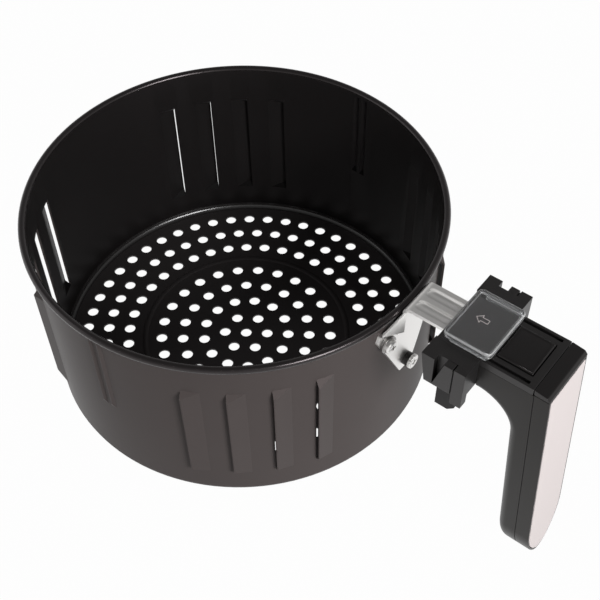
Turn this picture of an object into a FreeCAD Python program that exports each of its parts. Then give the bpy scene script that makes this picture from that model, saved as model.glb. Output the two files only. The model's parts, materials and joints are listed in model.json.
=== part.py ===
import FreeCAD, Part
import os
from math import atan, atan2, cos, degrees, floor, pi, radians, sin, sqrt, tan

# Frying basket of an air fryer: a drawn, perforated basket with louvred walls, and a bolted
# handle that carries a latch, its release button and a sliding clear guard.
# Millimetres. The origin is the centre of the base's underside, +Z is up, the handle points along +X.

# Basket
rim_radius = 100.0          # outside of the rolled rim
basket_height = 99.5        # base to the top of the rim
sheet = 1.0                 # basket sheet
bead_radius = 1.8           # section of the rolled rim
corner_radius = 2.8         # inside bend between floor and wall
corner_chords = 3           # straight steps in that bend's section
bead_chord = 45             # degrees of the rolled rim's section per straight step
floor_gap = 0.02            # seam between floor disc and wall ring

# Floor perforation
hole_radius = 2.9
hole_pitch = 11.32          # ring to ring, and along the inner rings
hole_flats = 8              # flats per hole, which keep the perforated disc light
outer_rings = 3
outer_hole_spacing = 10.76  # along the outermost ring
holes_less_per_ring = 6     # from one outer ring to the next one in
edge_land = 8.0             # outermost ring centre to the start of the corner bend
row_angle = 34.7            # a row of holes that all rings share
pressed_ring_width = 3.2    # pressed ring between the two fields of holes
pressed_ring_height = 0.6

# Wall louvres
louvre_groups = 4
louvres_per_group = 4
louvre_step = 11.6          # degrees from louvre to louvre
louvre_width = 8.0
louvre_low = 17.0
louvre_margin = 20.0        # louvre's top end below the rim's top
louvre_depth = 2.6
louvre_ramp = 3.0           # length of the closed sloping ends
louvre_nose = 0.6

# Upright ribs pressed out of the wall, a pair on each side of the basket
guide_rib_angle = 88.5      # degrees from the handle's plane to the pair's middle
guide_rib_spacing = 4.9     # along the wall
guide_rib_width = 3.2
guide_rib_crest = 0.6
guide_rib_height = 1.0
guide_rib_low = 46.5
guide_rib_ramp = 3.0

# Bracket, pressed from one plate
bracket_sheet = 1.8
tongue_width = 18.9
shield_half_width = 21.0
shield_tip_half = 4.5
shield_drop = 48.0          # rim's top to the shield's lower end
shoulder_drop = 14.5        # rim's top to the widest point
ear_drop = 9.5              # rim's top to the shield's upper corners
notch_drop = 13.0           # rim's top to where the neck rises out of the shield
shield_corner = 1.5
rim_clearance = 0.6         # neck to rolled rim
neck_bend = 3.6             # outside bend from neck to tongue
rib_width = 3.4             # pressed ribs on the tongue
rib_height = 0.9
rib_spacing = 8.4

# Bracket fasteners
screw_radius = 2.0
screw_head_radius = 3.5
screw_head_height = 2.4
screw_head_chamfer = 0.9
screw_clearance = 0.1
washer_radius = 4.4
washer_thickness = 1.6
nut_flats = 7.0
nut_height = 3.2
upper_screw_arc = 16.0      # along the wall from the handle's plane
upper_screw_drop = 17.0     # rim's top to the screw
lower_screw_drop = 42.5
spacer_radius = 3.4         # black sleeve under the lower screw's head
spacer_length = 5.2
lower_head_radius = 3.7
lower_head_height = 1.8

# Handle
deck_rise = 5.5             # deck above the rim
lid_thickness = 3.8
block_gap = 21.0            # rim to the latch block
block_length = 21.0
block_depth = 16.5          # deck to the block's underside
block_draft = 2.4
wing_half = 26.5
wing_post = 6.3             # solid posts at the ends of each wing pocket
wing_flange = 5.3
pocket_depth = 3.4
post_width = 4.4            # outer posts of the wings, which reach below the block
post_drop = 5.5
groove_width = 0.6          # groove between a wing's panel and its outer post
groove_depth = 0.8
head_land = 8.4             # what the head has beyond the button, from latch block to seam
grip_half = 15.4
grip_lean = 5.0             # degrees, out towards the bottom
rear_depth = 10.2           # seam to the grip's inner face
front_depth = 7.3           # seam to the grip's front face
neck_depth = 20.3           # deck to the neck's underside
neck_fillet = 18.0
grip_length = 130.0         # deck to the grip's lowest point
grip_round = 25.0           # height of the grip's rounded lower end
grip_tip = 9.0              # radius at the very end
grip_heel = 8.0             # rounding of the inner lower corner
grip_edge = 5.0             # rounding of the inner long edges
shell_wall = 2.3
trim_border = 1.2
trim_thickness = 1.0
trim_proud = 0.15
cap_thickness = 3.2
cap_chamfer = 1.4
skin = 2.5                  # lid above the button's flange
clip_length = 4.0           # snap clips that hold the lid in the head
clip_depth = 4.6
clip_thickness = 1.4
fit_gap = 0.1               # fixed pieces that fit into each other
run_gap = 0.3               # moving pieces beside fixed ones

# Release button, latch and clear guard
button_length = 16.6
button_land = 5.8           # button's side to the grip's side
button_proud = 0.9
button_flange = 1.0
button_depth = 5.0          # deck to the button's underside
button_inset = 4.2          # button to the front end of the deck
button_edge = 0.7
rib_thickness = 1.5         # button's rib above the lever's arm
rib_gap = 0.2
rib_offset = 2.0            # rib from the button's middle, towards the pivot
pin_radius = 1.5
pin_gap = 0.05
hub_radius = 3.2
pivot_inset = 6.0           # pivot to the block's outer end
pivot_depth = 11.0          # deck to the pivot
arm_gap = 1.2               # lever's arm to the springs
arm_thickness = 3.0
hook_thickness = 4.0
hook_outer = 21.4
hook_length = 9.5
hook_drop = 35.0            # deck to the hooks' lower ends
hook_chamfer = 3.2
chamber_wall = 4.0          # block's inner wall, in front of the hooks
spring_radius = 2.0         # to the middle of the wire
spring_wire = 0.8
spring_turns = 3
spring_steps = 8            # straight steps per turn, which keep the springs light
spring_inset = 2.0          # spring's middle to the button's side
post_radius = 1.2           # locating posts inside the springs
guard_length = 22.0
guard_land = 0.4            # guard's side to the grip's side
guard_wall = 1.5
guard_height = 4.0          # top of the guard above the deck
guard_inset = 3.5           # guard to the block's inner end
guard_travel = 17.0
rail_inset = 1.8            # guard rail's middle to the guard's side
rail_neck = 1.0
rail_foot = 2.2
rail_depth = 2.2
foot_height = 0.7

# Small screws inside the handle
tongue_screw_radius = 2.0
tongue_screw_head = 3.7
tongue_screw_spacing = 10.5
grip_screw_radius = 1.5
grip_screw_head = 2.8
grip_screw_head_height = 1.6
grip_screw_sink = 4.0       # head below the grip's inner face
grip_screw_heights = (55.0, 12.0)
boss_radius = 4.2

# Worked-out sizes
wall_out = rim_radius - 2 * bead_radius + sheet
wall_in = wall_out - sheet
bead_x = rim_radius - bead_radius
bead_z = basket_height - bead_radius
floor_radius = wall_in - corner_radius
ring_outer = floor_radius - edge_land
louvre_high = basket_height - louvre_margin
shield_bottom = basket_height - shield_drop
shield_shoulder = basket_height - shoulder_drop
shield_top = basket_height - ear_drop
shield_notch = basket_height - notch_drop
upper_screw_height = basket_height - upper_screw_drop
lower_screw_height = basket_height - lower_screw_drop
button_width = 2 * (grip_half - button_land)
spring_spread = button_width / 2 - spring_inset
arm_half = spring_spread - spring_radius - spring_wire / 2 - arm_gap
guard_half = grip_half - guard_land
rail_offset = guard_half - rail_inset
head_length = button_length + head_land
flange_out = wall_out + bracket_sheet
deck_top = basket_height + deck_rise
lid_bottom = deck_top - lid_thickness
tongue_top = lid_bottom + bracket_sheet
block_in = rim_radius + block_gap
block_out = block_in + block_length
block_bottom = deck_top - block_depth
seam_top = block_out + head_length
lean = tan(radians(grip_lean))
grip_bottom = deck_top - grip_length
round_top = grip_bottom + grip_round
neck_bottom = deck_top - neck_depth
cap_bottom = deck_top - cap_thickness
button_out = seam_top - button_inset
button_in = button_out - button_length
button_mid = (button_in + button_out) / 2
button_bottom = deck_top - button_depth
pivot_x = block_out - pivot_inset
pivot_z = deck_top - pivot_depth
pin_half = wing_half - pocket_depth - 0.4
arm_top = pivot_z + arm_thickness / 2
tray_floor = neck_bottom + shell_wall
tray_half = grip_half - shell_wall
chamber_top = lid_bottom - shell_wall - 0.4
tongue_end = block_out + 1.4
tongue_screw_x = (block_in + 5.0, block_in + 5.0 + tongue_screw_spacing)
guard_in = block_in + guard_inset
guard_out = guard_in + guard_length
guard_under = deck_top + guard_height - guard_wall


def box(x0, x1, y0, y1, z0, z1):
    return Part.makeBox(x1 - x0, y1 - y0, z1 - z0, FreeCAD.Vector(x0, y0, z0))


def rod(point, direction, radius, length):
    return Part.makeCylinder(radius, length, FreeCAD.Vector(*point), FreeCAD.Vector(*direction))


def face_of(place, start, legs):
    """A closed flat face. A leg is an end point, or a middle and an end point of an arc."""
    edges = []
    last = start
    for leg in list(legs) + [start]:
        if isinstance(leg[0], tuple):
            edges.append(Part.Arc(place(last), place(leg[0]), place(leg[1])).toShape())
            last = leg[1]
        elif (place(leg) - place(last)).Length > 1e-6:
            edges.append(Part.makeLine(place(last), place(leg)))
            last = leg
    return Part.Face(Part.Wire(edges))


def side_prism(half, start, *legs):
    """An outline in the handle's plane, as wide as half on each side of it."""
    flat = face_of(lambda p: FreeCAD.Vector(p[0], -half, p[1]), start, legs)
    return flat.extrude(FreeCAD.Vector(0, 2 * half, 0))


def front_prism(x0, x1, start, *legs):
    """An outline seen from the front, in Y and Z, drawn out along X."""
    flat = face_of(lambda p: FreeCAD.Vector(x0, p[0], p[1]), start, legs)
    return flat.extrude(FreeCAD.Vector(x1 - x0, 0, 0))


def turned(start, *legs):
    """A radius and height outline turned about the basket's axis."""
    flat = face_of(lambda p: FreeCAD.Vector(p[0], 0, p[1]), start, legs)
    return flat.revolve(FreeCAD.Vector(0, 0, 0), FreeCAD.Vector(0, 0, 1), 360)


def moved(shape, x, y, z):
    placed = shape.copy()
    placed.translate(FreeCAD.Vector(x, y, z))
    return placed


def mirrored(shape):
    return shape.mirror(FreeCAD.Vector(0, 0, 0), FreeCAD.Vector(0, 1, 0))


def both_sides(shape):
    return Part.Compound([shape, mirrored(shape)])


def joined(shapes):
    return shapes[0].multiFuse(shapes[1:]).removeSplitter()


def on_arc(centre, radius, angle):
    return (centre[0] + radius * cos(radians(angle)), centre[1] + radius * sin(radians(angle)))


def lean_x(x_at_deck, z):
    """The grip's faces move out by the lean as they go down."""
    return x_at_deck + (deck_top - z) * lean


def radial(shape, angle, height):
    """A shape modelled along +X at height 0, turned round the basket and lifted."""
    placed = shape.copy()
    placed.rotate(FreeCAD.Vector(0, 0, 0), FreeCAD.Vector(0, 0, 1), angle)
    placed.translate(FreeCAD.Vector(0, 0, height))
    return placed


def at_upper_screws(shape):
    """Copies of one fastener piece at the bracket's two upper screws."""
    side = degrees(upper_screw_arc / flange_out)
    return Part.Compound([radial(shape, angle, upper_screw_height) for angle in (-side, side)])


def at_lower_screw(shape):
    return radial(shape, 0, lower_screw_height)


def at_bracket_screws(shape):
    return Part.Compound([at_upper_screws(shape), at_lower_screw(shape)])


def bracket_screw_holes():
    return at_bracket_screws(rod((wall_in - 5, 0, 0), (1, 0, 0), screw_radius + screw_clearance, 15))


def ring_washer(radius, length):
    """A plain ring on the bracket's face, bored for the screw."""
    ring = rod((flange_out, 0, 0), (1, 0, 0), radius, length)
    return ring.cut(rod((flange_out, 0, 0), (1, 0, 0), screw_radius + screw_clearance, length))


def through_screw(seat, radius, height, chamfer):
    """A screw from inside the basket to a chamfered head on its seat."""
    inner_end = wall_in - nut_height - 1.2
    shank = rod((inner_end, 0, 0), (1, 0, 0), screw_radius, seat - inner_end + 0.5)
    head = rod((seat, 0, 0), (1, 0, 0), radius, height - chamfer)
    start = FreeCAD.Vector(seat + height - chamfer, 0, 0)
    crown = Part.makeCone(radius, radius - chamfer, chamfer, start, FreeCAD.Vector(1, 0, 0))
    return joined([shank, head, crown])


def louvres(shift):
    """The pressed-out form of every louvre, open at one long side, shifted along its radius."""
    base = wall_in + 0.2
    grow = (wall_out - base) / louvre_depth
    half = louvre_width / 2
    wedge = Part.makeWedge(
        half - louvre_width * (1 + grow), base + shift, louvre_low - louvre_ramp * grow,
        louvre_low + louvre_ramp, half - louvre_nose,
        half, wall_out + louvre_depth + shift, louvre_high + louvre_ramp * grow,
        louvre_high - louvre_ramp, half)
    middle = (louvres_per_group - 1) / 2
    placed = []
    for group in range(louvre_groups):
        centre = (group + 0.5) * 360 / louvre_groups
        for i in range(louvres_per_group):
            placed.append(radial(wedge, centre + (i - middle) * louvre_step - 90, 0))
    return placed


def guide_ribs(shift):
    """The pressed-out form of the upright ribs below the rim, shifted along its radius."""
    base = wall_in + 0.2
    grow = (wall_out - base) / guide_rib_height
    crest = guide_rib_crest / 2
    foot = guide_rib_width / 2 + (guide_rib_width / 2 - crest) * grow
    top = bead_z - bead_radius + 0.5
    wedge = Part.makeWedge(
        -foot, base + shift, guide_rib_low - guide_rib_ramp * grow, guide_rib_low + guide_rib_ramp, -crest,
        foot, wall_out + guide_rib_height + shift, top, top, crest)
    turn = degrees(guide_rib_spacing / wall_out) / 2
    pair = (guide_rib_angle - turn, guide_rib_angle + turn)
    return [radial(wedge, side * angle - 90, 0) for side in (-1, 1) for angle in pair]


def chords(centre, radius, start, end, count):
    """Points along an arc, joined by straight steps."""
    return [on_arc(centre, radius, start + (end - start) * k / count) for k in range(count + 1)]


def basket_wall():
    bend = (floor_radius, sheet + corner_radius)
    bead = chords((bead_x, bead_z), bead_radius, 180, -90, round(270 / bead_chord))
    inside = chords(bend, corner_radius, -90, 0, corner_chords)
    outside = chords(bend, corner_radius + sheet, 0, -90, corner_chords)
    ring = turned(*inside, *bead, (wall_out, bead_z - bead_radius), *outside)
    pressed = ring.multiFuse(louvres(0) + guide_ribs(0))
    opened = pressed.cut(Part.Compound(louvres(-sheet) + guide_ribs(-sheet)))
    return opened.cut(bracket_screw_holes()).removeSplitter()


def hole_rings():
    """Radius and count of each ring of floor holes, in an inner and an outer field."""
    outermost = round(2 * pi * ring_outer / outer_hole_spacing)
    outer = [(ring_outer - j * hole_pitch, outermost - j * holes_less_per_ring) for j in range(outer_rings)]
    inner_rings = floor((outer[-1][0] - 1.3 * hole_pitch) / hole_pitch)
    inner = [(i * hole_pitch, round(2 * pi * i)) for i in range(1, inner_rings + 1)]
    return inner, outer


def hole_wire(x, y):
    reach = hole_radius / sqrt(cos(pi / hole_flats))
    corners = [on_arc((x, y), reach, (k + 0.5) * 360 / hole_flats) for k in range(hole_flats)]
    return Part.makePolygon([FreeCAD.Vector(*c, 0) for c in corners + corners[:1]])


def basket_floor():
    wires = [Part.Wire(Part.makeCircle(floor_radius - floor_gap)), hole_wire(0, 0)]
    inner, outer = hole_rings()
    for ring, count in inner + outer:
        for k in range(count):
            wires.append(hole_wire(*on_arc((0, 0), ring, row_angle + k * 360 / count)))
    disc = Part.makeFace(wires, "Part::FaceMakerBullseye").extrude(FreeCAD.Vector(0, 0, sheet))
    middle = (inner[-1][0] + outer[-1][0]) / 2
    rise = pressed_ring_height
    spread = pressed_ring_width / 2
    pressed = turned((middle - spread, sheet), (middle, sheet + rise), (middle + spread, sheet))
    hollow = turned((middle - spread, 0), (middle, rise), (middle + spread, 0))
    return disc.fuse(pressed).cut(hollow).removeSplitter()


def shield_prism():
    """The bracket's shield seen from the handle, with its outer corners rounded."""
    half = tongue_width / 2
    wide = shield_half_width
    ear = wide - 1.6
    tip = shield_tip_half
    prism = front_prism(
        0, 2 * rim_radius, (-half, shield_top), (-half, shield_notch), (-ear, shield_top),
        (-wide, shield_shoulder), (-tip, shield_bottom), (tip, shield_bottom), (wide, shield_shoulder),
        (ear, shield_top), (half, shield_notch), (half, shield_top))
    corners = []
    for edge in prism.Edges:
        size = edge.BoundBox
        inside = abs(abs(size.YMin) - half) < 0.1
        if size.XLength > rim_radius and not inside:
            corners.append(edge)
    return prism.makeFillet(shield_corner, corners)


def bracket():
    half = tongue_width / 2
    tall = 2 * basket_height
    flange = shield_prism().common(Part.makeCylinder(flange_out, tall)).cut(Part.makeCylinder(wall_out, tall))
    step_x = rim_radius + rim_clearance
    bend = (step_x + neck_bend, tongue_top - neck_bend)
    inside = neck_bend - bracket_sheet
    foot = shield_notch - 4
    step = bead_z - bead_radius - 1.0
    neck = side_prism(
        half, (wall_out, foot), (wall_out, step - 3.6), (step_x, step), (step_x, bend[1]),
        (on_arc(bend, neck_bend, 135), on_arc(bend, neck_bend, 90)), (tongue_end, tongue_top),
        (tongue_end, lid_bottom), (bend[0], lid_bottom),
        (on_arc(bend, inside, 135), on_arc(bend, inside, 180)),
        (step_x + bracket_sheet, step - 0.8), (flange_out, step - 4.4), (flange_out, foot))
    neck = neck.cut(Part.makeCylinder(wall_out, step - 3.6))
    start = step_x + neck_bend + 2
    end = block_in - 1.5
    drop = (rib_width / 2) ** 2 / (2 * rib_height) - rib_height / 2
    bar = rod((start, rib_spacing / 2, tongue_top - drop), (1, 0, 0), drop + rib_height, end - start)
    rib = bar.common(box(start, end, 0, half, tongue_top - 0.3, deck_top))
    drills = [tongue_screw(x, lid_bottom - 1, fit_gap) for x in tongue_screw_x]
    plate = joined([flange, neck, rib, mirrored(rib)])
    return plate.cut(Part.Compound(drills)).cut(bracket_screw_holes()).removeSplitter()


def tongue_screw(x, low, gap):
    """Countersunk screw, its head flush with the tongue's top."""
    depth = tongue_screw_head - tongue_screw_radius
    foot = FreeCAD.Vector(x, 0, tongue_top - depth)
    head = Part.makeCone(tongue_screw_radius + gap, tongue_screw_head + gap, depth, foot)
    return joined([rod((x, 0, low), (0, 0, 1), tongue_screw_radius + gap, tongue_top - low), head])


def tongue_screws():
    return Part.Compound([tongue_screw(x, chamber_top + 0.3, 0) for x in tongue_screw_x])


def bracket_screws():
    seat = flange_out + washer_thickness
    return at_upper_screws(through_screw(seat, screw_head_radius, screw_head_height, screw_head_chamfer))


def bracket_washers():
    return at_upper_screws(ring_washer(washer_radius, washer_thickness))


def lower_spacer():
    return at_lower_screw(ring_washer(spacer_radius, spacer_length))


def lower_screw():
    seat = flange_out + spacer_length
    return at_lower_screw(through_screw(seat, lower_head_radius, lower_head_height, lower_head_height / 4))


def bracket_nuts():
    reach = nut_flats / 2 / cos(pi / 6)
    seat = sqrt(wall_in ** 2 - reach ** 2) - floor_gap
    corners = [on_arc((0, 0), reach, 60 * k) for k in range(6)]
    bore = rod((seat - nut_height, 0, 0), (1, 0, 0), screw_radius + screw_clearance, nut_height)
    return at_bracket_screws(front_prism(seat - nut_height, seat, *corners).cut(bore))


def latch_housing():
    """Wide block that drops into the pan's front: posts, gussets and an open chamber for the latch."""
    body = box(block_in, block_out, -wing_half, wing_half, block_bottom, lid_bottom)
    inner = grip_half + fit_gap
    wing = box(block_in, block_out, inner, wing_half, lid_bottom, deck_top)
    post = block_in + wing_post
    flange = block_out - wing_flange
    outside = wing_half - pocket_depth / 2
    pocket = side_prism(pocket_depth / 2, (post, block_bottom + 1), (post, deck_top), (flange, deck_top))
    pocket = moved(pocket, 0, outside, 0)
    groove = box(
        flange - groove_width, flange, wing_half - groove_depth, wing_half, block_bottom, deck_top)
    foot = box(flange, block_out, wing_half - post_width, wing_half, block_bottom - post_drop, block_bottom)
    corner = (block_in, block_bottom)
    draft = side_prism(wing_half, (block_in, deck_top), corner, (block_in + block_draft, block_bottom))
    draft = draft.common(box(block_in, block_out, inner, wing_half, block_bottom, deck_top))
    wings = both_sides(Part.Compound([pocket, draft, groove]))
    room = hook_outer + 2 * run_gap
    chamber = box(block_in + chamber_wall, block_out - shell_wall, -room, room, block_bottom, chamber_top)
    window = arm_window(block_out - shell_wall, block_out)
    bore = rod((pivot_x, -pin_half, pivot_z), (0, 1, 0), pin_radius + floor_gap, 2 * pin_half)
    drills = [rod((x, 0, chamber_top), (0, 0, 1), tongue_screw_radius + fit_gap, 10) for x in tongue_screw_x]
    shape = joined([body, wing, mirrored(wing), foot, mirrored(foot)]).cut(wings)
    return shape.cut(Part.Compound([chamber, window, bore] + drills)).removeSplitter()


def arm_window(x0, x1):
    """Passage of the lever's arm from the block into the handle's head."""
    half = arm_half + 2 * run_gap
    return box(x0, x1, -half, half, tray_floor, chamber_top)


def lever_pin():
    return rod((pivot_x, -pin_half, pivot_z), (0, 1, 0), pin_radius, 2 * pin_half)


def latch_lever():
    """Two hooks under the block and one arm under the button, on a common hub."""
    hub = rod((pivot_x, -hook_outer, pivot_z), (0, 1, 0), hub_radius, 2 * hook_outer)
    low = deck_top - hook_drop
    back = block_in + wing_post + run_gap
    front = back + hook_length
    hook = side_prism(
        hook_thickness / 2, (back, low), (front - hook_chamfer, low), (front, low + hook_chamfer),
        (front, arm_top), (back, arm_top))
    hook = moved(hook, 0, hook_outer - hook_thickness / 2, 0)
    arm = box(pivot_x, button_mid + arm_half, -arm_half, arm_half, arm_top - arm_thickness, arm_top)
    bore = rod((pivot_x, -hook_outer, pivot_z), (0, 1, 0), pin_radius + pin_gap, 2 * hook_outer)
    return joined([hub, hook, mirrored(hook), arm]).cut(bore).removeSplitter()


def guard_rail(x0, x1, gap):
    """A guard rail on the +Y side, or with a gap the slot that it runs in."""
    sole = deck_top - rail_depth
    neck = rail_neck / 2 + gap
    foot = rail_foot / 2 + gap
    stem = box(x0, x1, rail_offset - neck, rail_offset + neck, sole, guard_under + 0.1)
    foot_top = sole + foot_height + gap
    return stem.fuse(box(x0, x1, rail_offset - foot, rail_offset + foot, sole - gap, foot_top))


def clip_places():
    return (button_in + 1.0, button_out - 1.0 - clip_length)


def lid_clip(x, gap):
    """A snap clip on the +Y side of the lid, or with a gap the recess for its barb."""
    outer = tray_half - fit_gap
    inner = outer - clip_thickness
    low = lid_bottom - clip_depth
    barb = box(x - gap, x + clip_length + gap, outer - 0.1, outer + 0.9 + gap, low - gap, low + 1.6 + gap)
    if gap:
        return barb
    return box(x, x + clip_length, inner, outer, low, lid_bottom + 0.5).fuse(barb)


def deck_cover():
    """Lid of the handle's head, with the tongue's channel, the button's opening and the guard's slots."""
    lid = box(block_in + 0.5, seam_top - fit_gap, -grip_half, grip_half, lid_bottom, deck_top)
    half = tongue_width / 2 + fit_gap
    channel = box(block_in, tongue_end + fit_gap, -half, half, lid_bottom, tongue_top + fit_gap)
    across = button_width / 2
    opening = box(
        button_in - run_gap, button_out + run_gap, -across - run_gap, across + run_gap, lid_bottom, deck_top)
    reach = button_flange + run_gap
    wide = across + reach
    shelf = box(button_in - reach, button_out + reach, -wide, wide, lid_bottom, deck_top - skin)
    slot = guard_rail(guard_in - run_gap, guard_out + guard_travel + run_gap, run_gap)
    clips = [lid_clip(x, 0) for x in clip_places()]
    shape = lid.cut(Part.Compound([channel, opening, shelf])).cut(both_sides(slot))
    return joined([shape] + clips + [mirrored(clip) for clip in clips])


def rear_outline(inset):
    """Side outline of the head, the neck and the rear half of the grip."""
    phi = degrees(atan(lean))
    inner = seam_top - rear_depth + inset / cos(radians(phi))
    neck_z = neck_bottom - neck_fillet
    radius = neck_fillet
    neck = (lean_x(inner, neck_z) - radius / cos(radians(phi)), neck_z)
    heel_radius = grip_heel - inset
    low = grip_bottom + inset
    heel_z = low + heel_radius
    heel = (lean_x(inner, heel_z) + heel_radius / cos(radians(phi)), heel_z)
    outline = [
        on_arc(heel, heel_radius, 180 + phi),
        (on_arc(heel, heel_radius, 225 + phi / 2), on_arc(heel, heel_radius, 270)),
        (lean_x(seam_top, low), low)]
    if inset:
        return outline + [(lean_x(seam_top, neck_z), neck_z), (lean_x(inner, neck_z), neck_z)]
    start = max(neck[0], block_out + 0.01)
    return outline + [
        (lean_x(seam_top, lid_bottom), lid_bottom), (block_out, lid_bottom), (block_out, neck_bottom),
        (start, neck_bottom),
        (on_arc(neck, radius, 45 + phi / 2), on_arc(neck, radius, phi))]


def grip_view(inset, top):
    """The grip seen from the front: straight sides and an oval lower end, drawn out along X."""
    half = grip_half - inset
    tall = grip_round - inset
    tip = grip_tip - inset
    side = ((tall - tip) ** 2 + half ** 2 - tip ** 2) / (2 * (half - tip))
    turn = degrees(atan2(tall - tip, side - half))
    right = (half - side, round_top)
    left = (side - half, round_top)
    end = (0.0, round_top - tall + tip)
    return front_prism(
        block_in, 2 * seam_top, (-half, top), (half, top), (half, round_top),
        (on_arc(right, side, -turn / 2), on_arc(right, side, -turn)),
        (on_arc(end, tip, -90), on_arc(end, tip, -180 + turn)),
        (on_arc(left, side, -180 + turn / 2), (-half, round_top)))


def grip_slab(back, front, inset, top):
    """A leaning slab of the grip, between two distances in front of the seam."""
    low = grip_bottom - 5
    slab = side_prism(
        grip_half, (lean_x(seam_top + back, low), low), (lean_x(seam_top + front, low), low),
        (lean_x(seam_top + front, top), top), (lean_x(seam_top + back, top), top))
    return slab.common(grip_view(inset, top))


def at_grip_screws(radius, from_inner, to_seam):
    """Rods along X at the grip's screws, from the inner face and to a distance past the seam."""
    rods = []
    for z in grip_screw_heights:
        start = lean_x(seam_top - rear_depth, z) + from_inner
        rods.append(rod((start, 0, z), (1, 0, 0), radius, lean_x(seam_top, z) + to_seam - start))
    return rods


def inner_edges(shape):
    """The long edges on the side of the grip that faces the basket."""
    picked = []
    for edge in shape.Edges:
        middle = edge.valueAt((edge.FirstParameter + edge.LastParameter) / 2)
        behind_seam = middle.x < lean_x(seam_top, middle.z) - 1
        runs_across = edge.BoundBox.YLength > grip_half
        if behind_seam and middle.z < neck_bottom - 0.1 and abs(middle.y) > 0.5 and not runs_across:
            picked.append(edge)
    return picked


def grip_rear():
    """Head tray, neck and rear half of the grip."""
    shape = side_prism(grip_half, *rear_outline(0)).common(grip_view(0, lid_bottom)).removeSplitter()
    shape = shape.makeFillet(grip_edge, inner_edges(shape))
    tray = box(block_out + shell_wall, seam_top - shell_wall, -tray_half, tray_half, tray_floor, lid_bottom)
    hollow = side_prism(grip_half, *rear_outline(shell_wall)).common(grip_view(shell_wall, lid_bottom))
    hollow = hollow.cut(Part.Compound(at_grip_screws(boss_radius, -5, 0)))
    recesses = [lid_clip(x, fit_gap) for x in clip_places()]
    heads = at_grip_screws(grip_screw_head + fit_gap, -5, grip_screw_sink - rear_depth)
    shanks = at_grip_screws(grip_screw_radius + fit_gap, -5, 1)
    window = arm_window(block_out, block_out + shell_wall)
    cuts = [tray, hollow, window] + recesses + [mirrored(r) for r in recesses] + heads + shanks
    shape = shape.cut(Part.Compound(cuts))
    post = rod((button_mid, spring_spread, tray_floor - 0.5), (0, 0, 1), post_radius, 3.5)
    return joined([shape, post, mirrored(post)])


def grip_front():
    """Outer half of the grip: a shallow shell with screw bosses, recessed for the trim plate."""
    shape = grip_slab(0, front_depth, 0, cap_bottom)
    floor_at = front_depth - trim_thickness - shell_wall * 0.7
    hollow = grip_slab(0, floor_at, shell_wall, cap_bottom)
    hollow = hollow.cut(Part.Compound(at_grip_screws(boss_radius, rear_depth - 1, front_depth)))
    recess = grip_slab(front_depth - trim_thickness, front_depth + 2, trim_border, cap_bottom - trim_border)
    pilots = at_grip_screws(grip_screw_radius + floor_gap, rear_depth - 1, floor_at)
    return shape.cut(Part.Compound([hollow, recess])).cut(Part.Compound(pilots)).removeSplitter()


def grip_screws():
    shanks = at_grip_screws(grip_screw_radius, grip_screw_sink - 0.2, front_depth * 0.5)
    under_head = grip_screw_sink - rear_depth
    heads = at_grip_screws(grip_screw_head, grip_screw_sink - grip_screw_head_height, under_head)
    return Part.Compound([joined([shank, head]) for shank, head in zip(shanks, heads)])


def trim_plate():
    border = trim_border + fit_gap
    return grip_slab(front_depth - trim_thickness, front_depth + trim_proud, border, cap_bottom - border)


def top_cap():
    """Cap that closes the grip's front shell at the deck, with a lug inside the shell."""
    back = lean_x(seam_top, cap_bottom)
    front = lean_x(seam_top + front_depth, cap_bottom)
    cap = side_prism(
        grip_half, (seam_top, deck_top), (back, cap_bottom), (front, cap_bottom),
        (front, deck_top - 1 - cap_chamfer), (front - cap_chamfer, deck_top - 0.8))
    lug_front = front_depth - trim_thickness - shell_wall * 0.7 - fit_gap
    lug_half = grip_half - shell_wall - fit_gap
    top = cap_bottom + 0.5
    low = cap_bottom - 3
    lug = side_prism(
        lug_half, (lean_x(seam_top, low) + fit_gap, low), (lean_x(seam_top + lug_front, top), low),
        (lean_x(seam_top + lug_front, top), top), (lean_x(seam_top, low) + fit_gap, top))
    return joined([cap, lug])


def release_button():
    across = button_width / 2
    cap = box(button_in, button_out, -across, across, button_bottom, deck_top + button_proud)
    top = [e for e in cap.Edges if e.BoundBox.ZMin > deck_top]
    cap = cap.makeFillet(button_edge, top)
    reach = button_flange
    flange = box(
        button_in - reach, button_out + reach, -across - reach, across + reach,
        button_bottom, deck_top - skin - fit_gap)
    rib_x = button_mid - rib_offset
    rib = box(
        rib_x - rib_thickness / 2, rib_x + rib_thickness / 2, -arm_half + 0.5, arm_half - 0.5,
        arm_top + rib_gap, button_bottom + 0.5)
    peg = rod((button_mid, spring_spread, button_bottom - 2), (0, 0, 1), post_radius, 2.5)
    return joined([cap, flange, rib, peg, mirrored(peg)])


def button_springs():
    """Two compression springs of square wire between the head's floor and the button."""
    wire = spring_wire / 2
    low = tray_floor + wire + 0.1
    high = button_bottom - wire - 0.1
    steps = spring_turns * spring_steps
    path = []
    for k in range(steps + 1):
        x, y = on_arc((0, 0), spring_radius, 360 * k / spring_steps)
        path.append(FreeCAD.Vector(x, y, (high - low) * k / steps))
    corners = [(-wire, -wire), (wire, -wire), (wire, wire), (-wire, wire), (-wire, -wire)]
    section = Part.makePolygon([FreeCAD.Vector(spring_radius + a, 0, b) for a, b in corners])
    coil = Part.makePolygon(path).makePipeShell([section], True, True, 1)
    return Part.Compound([moved(coil, button_mid, y, low) for y in (-spring_spread, spring_spread)])


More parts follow.
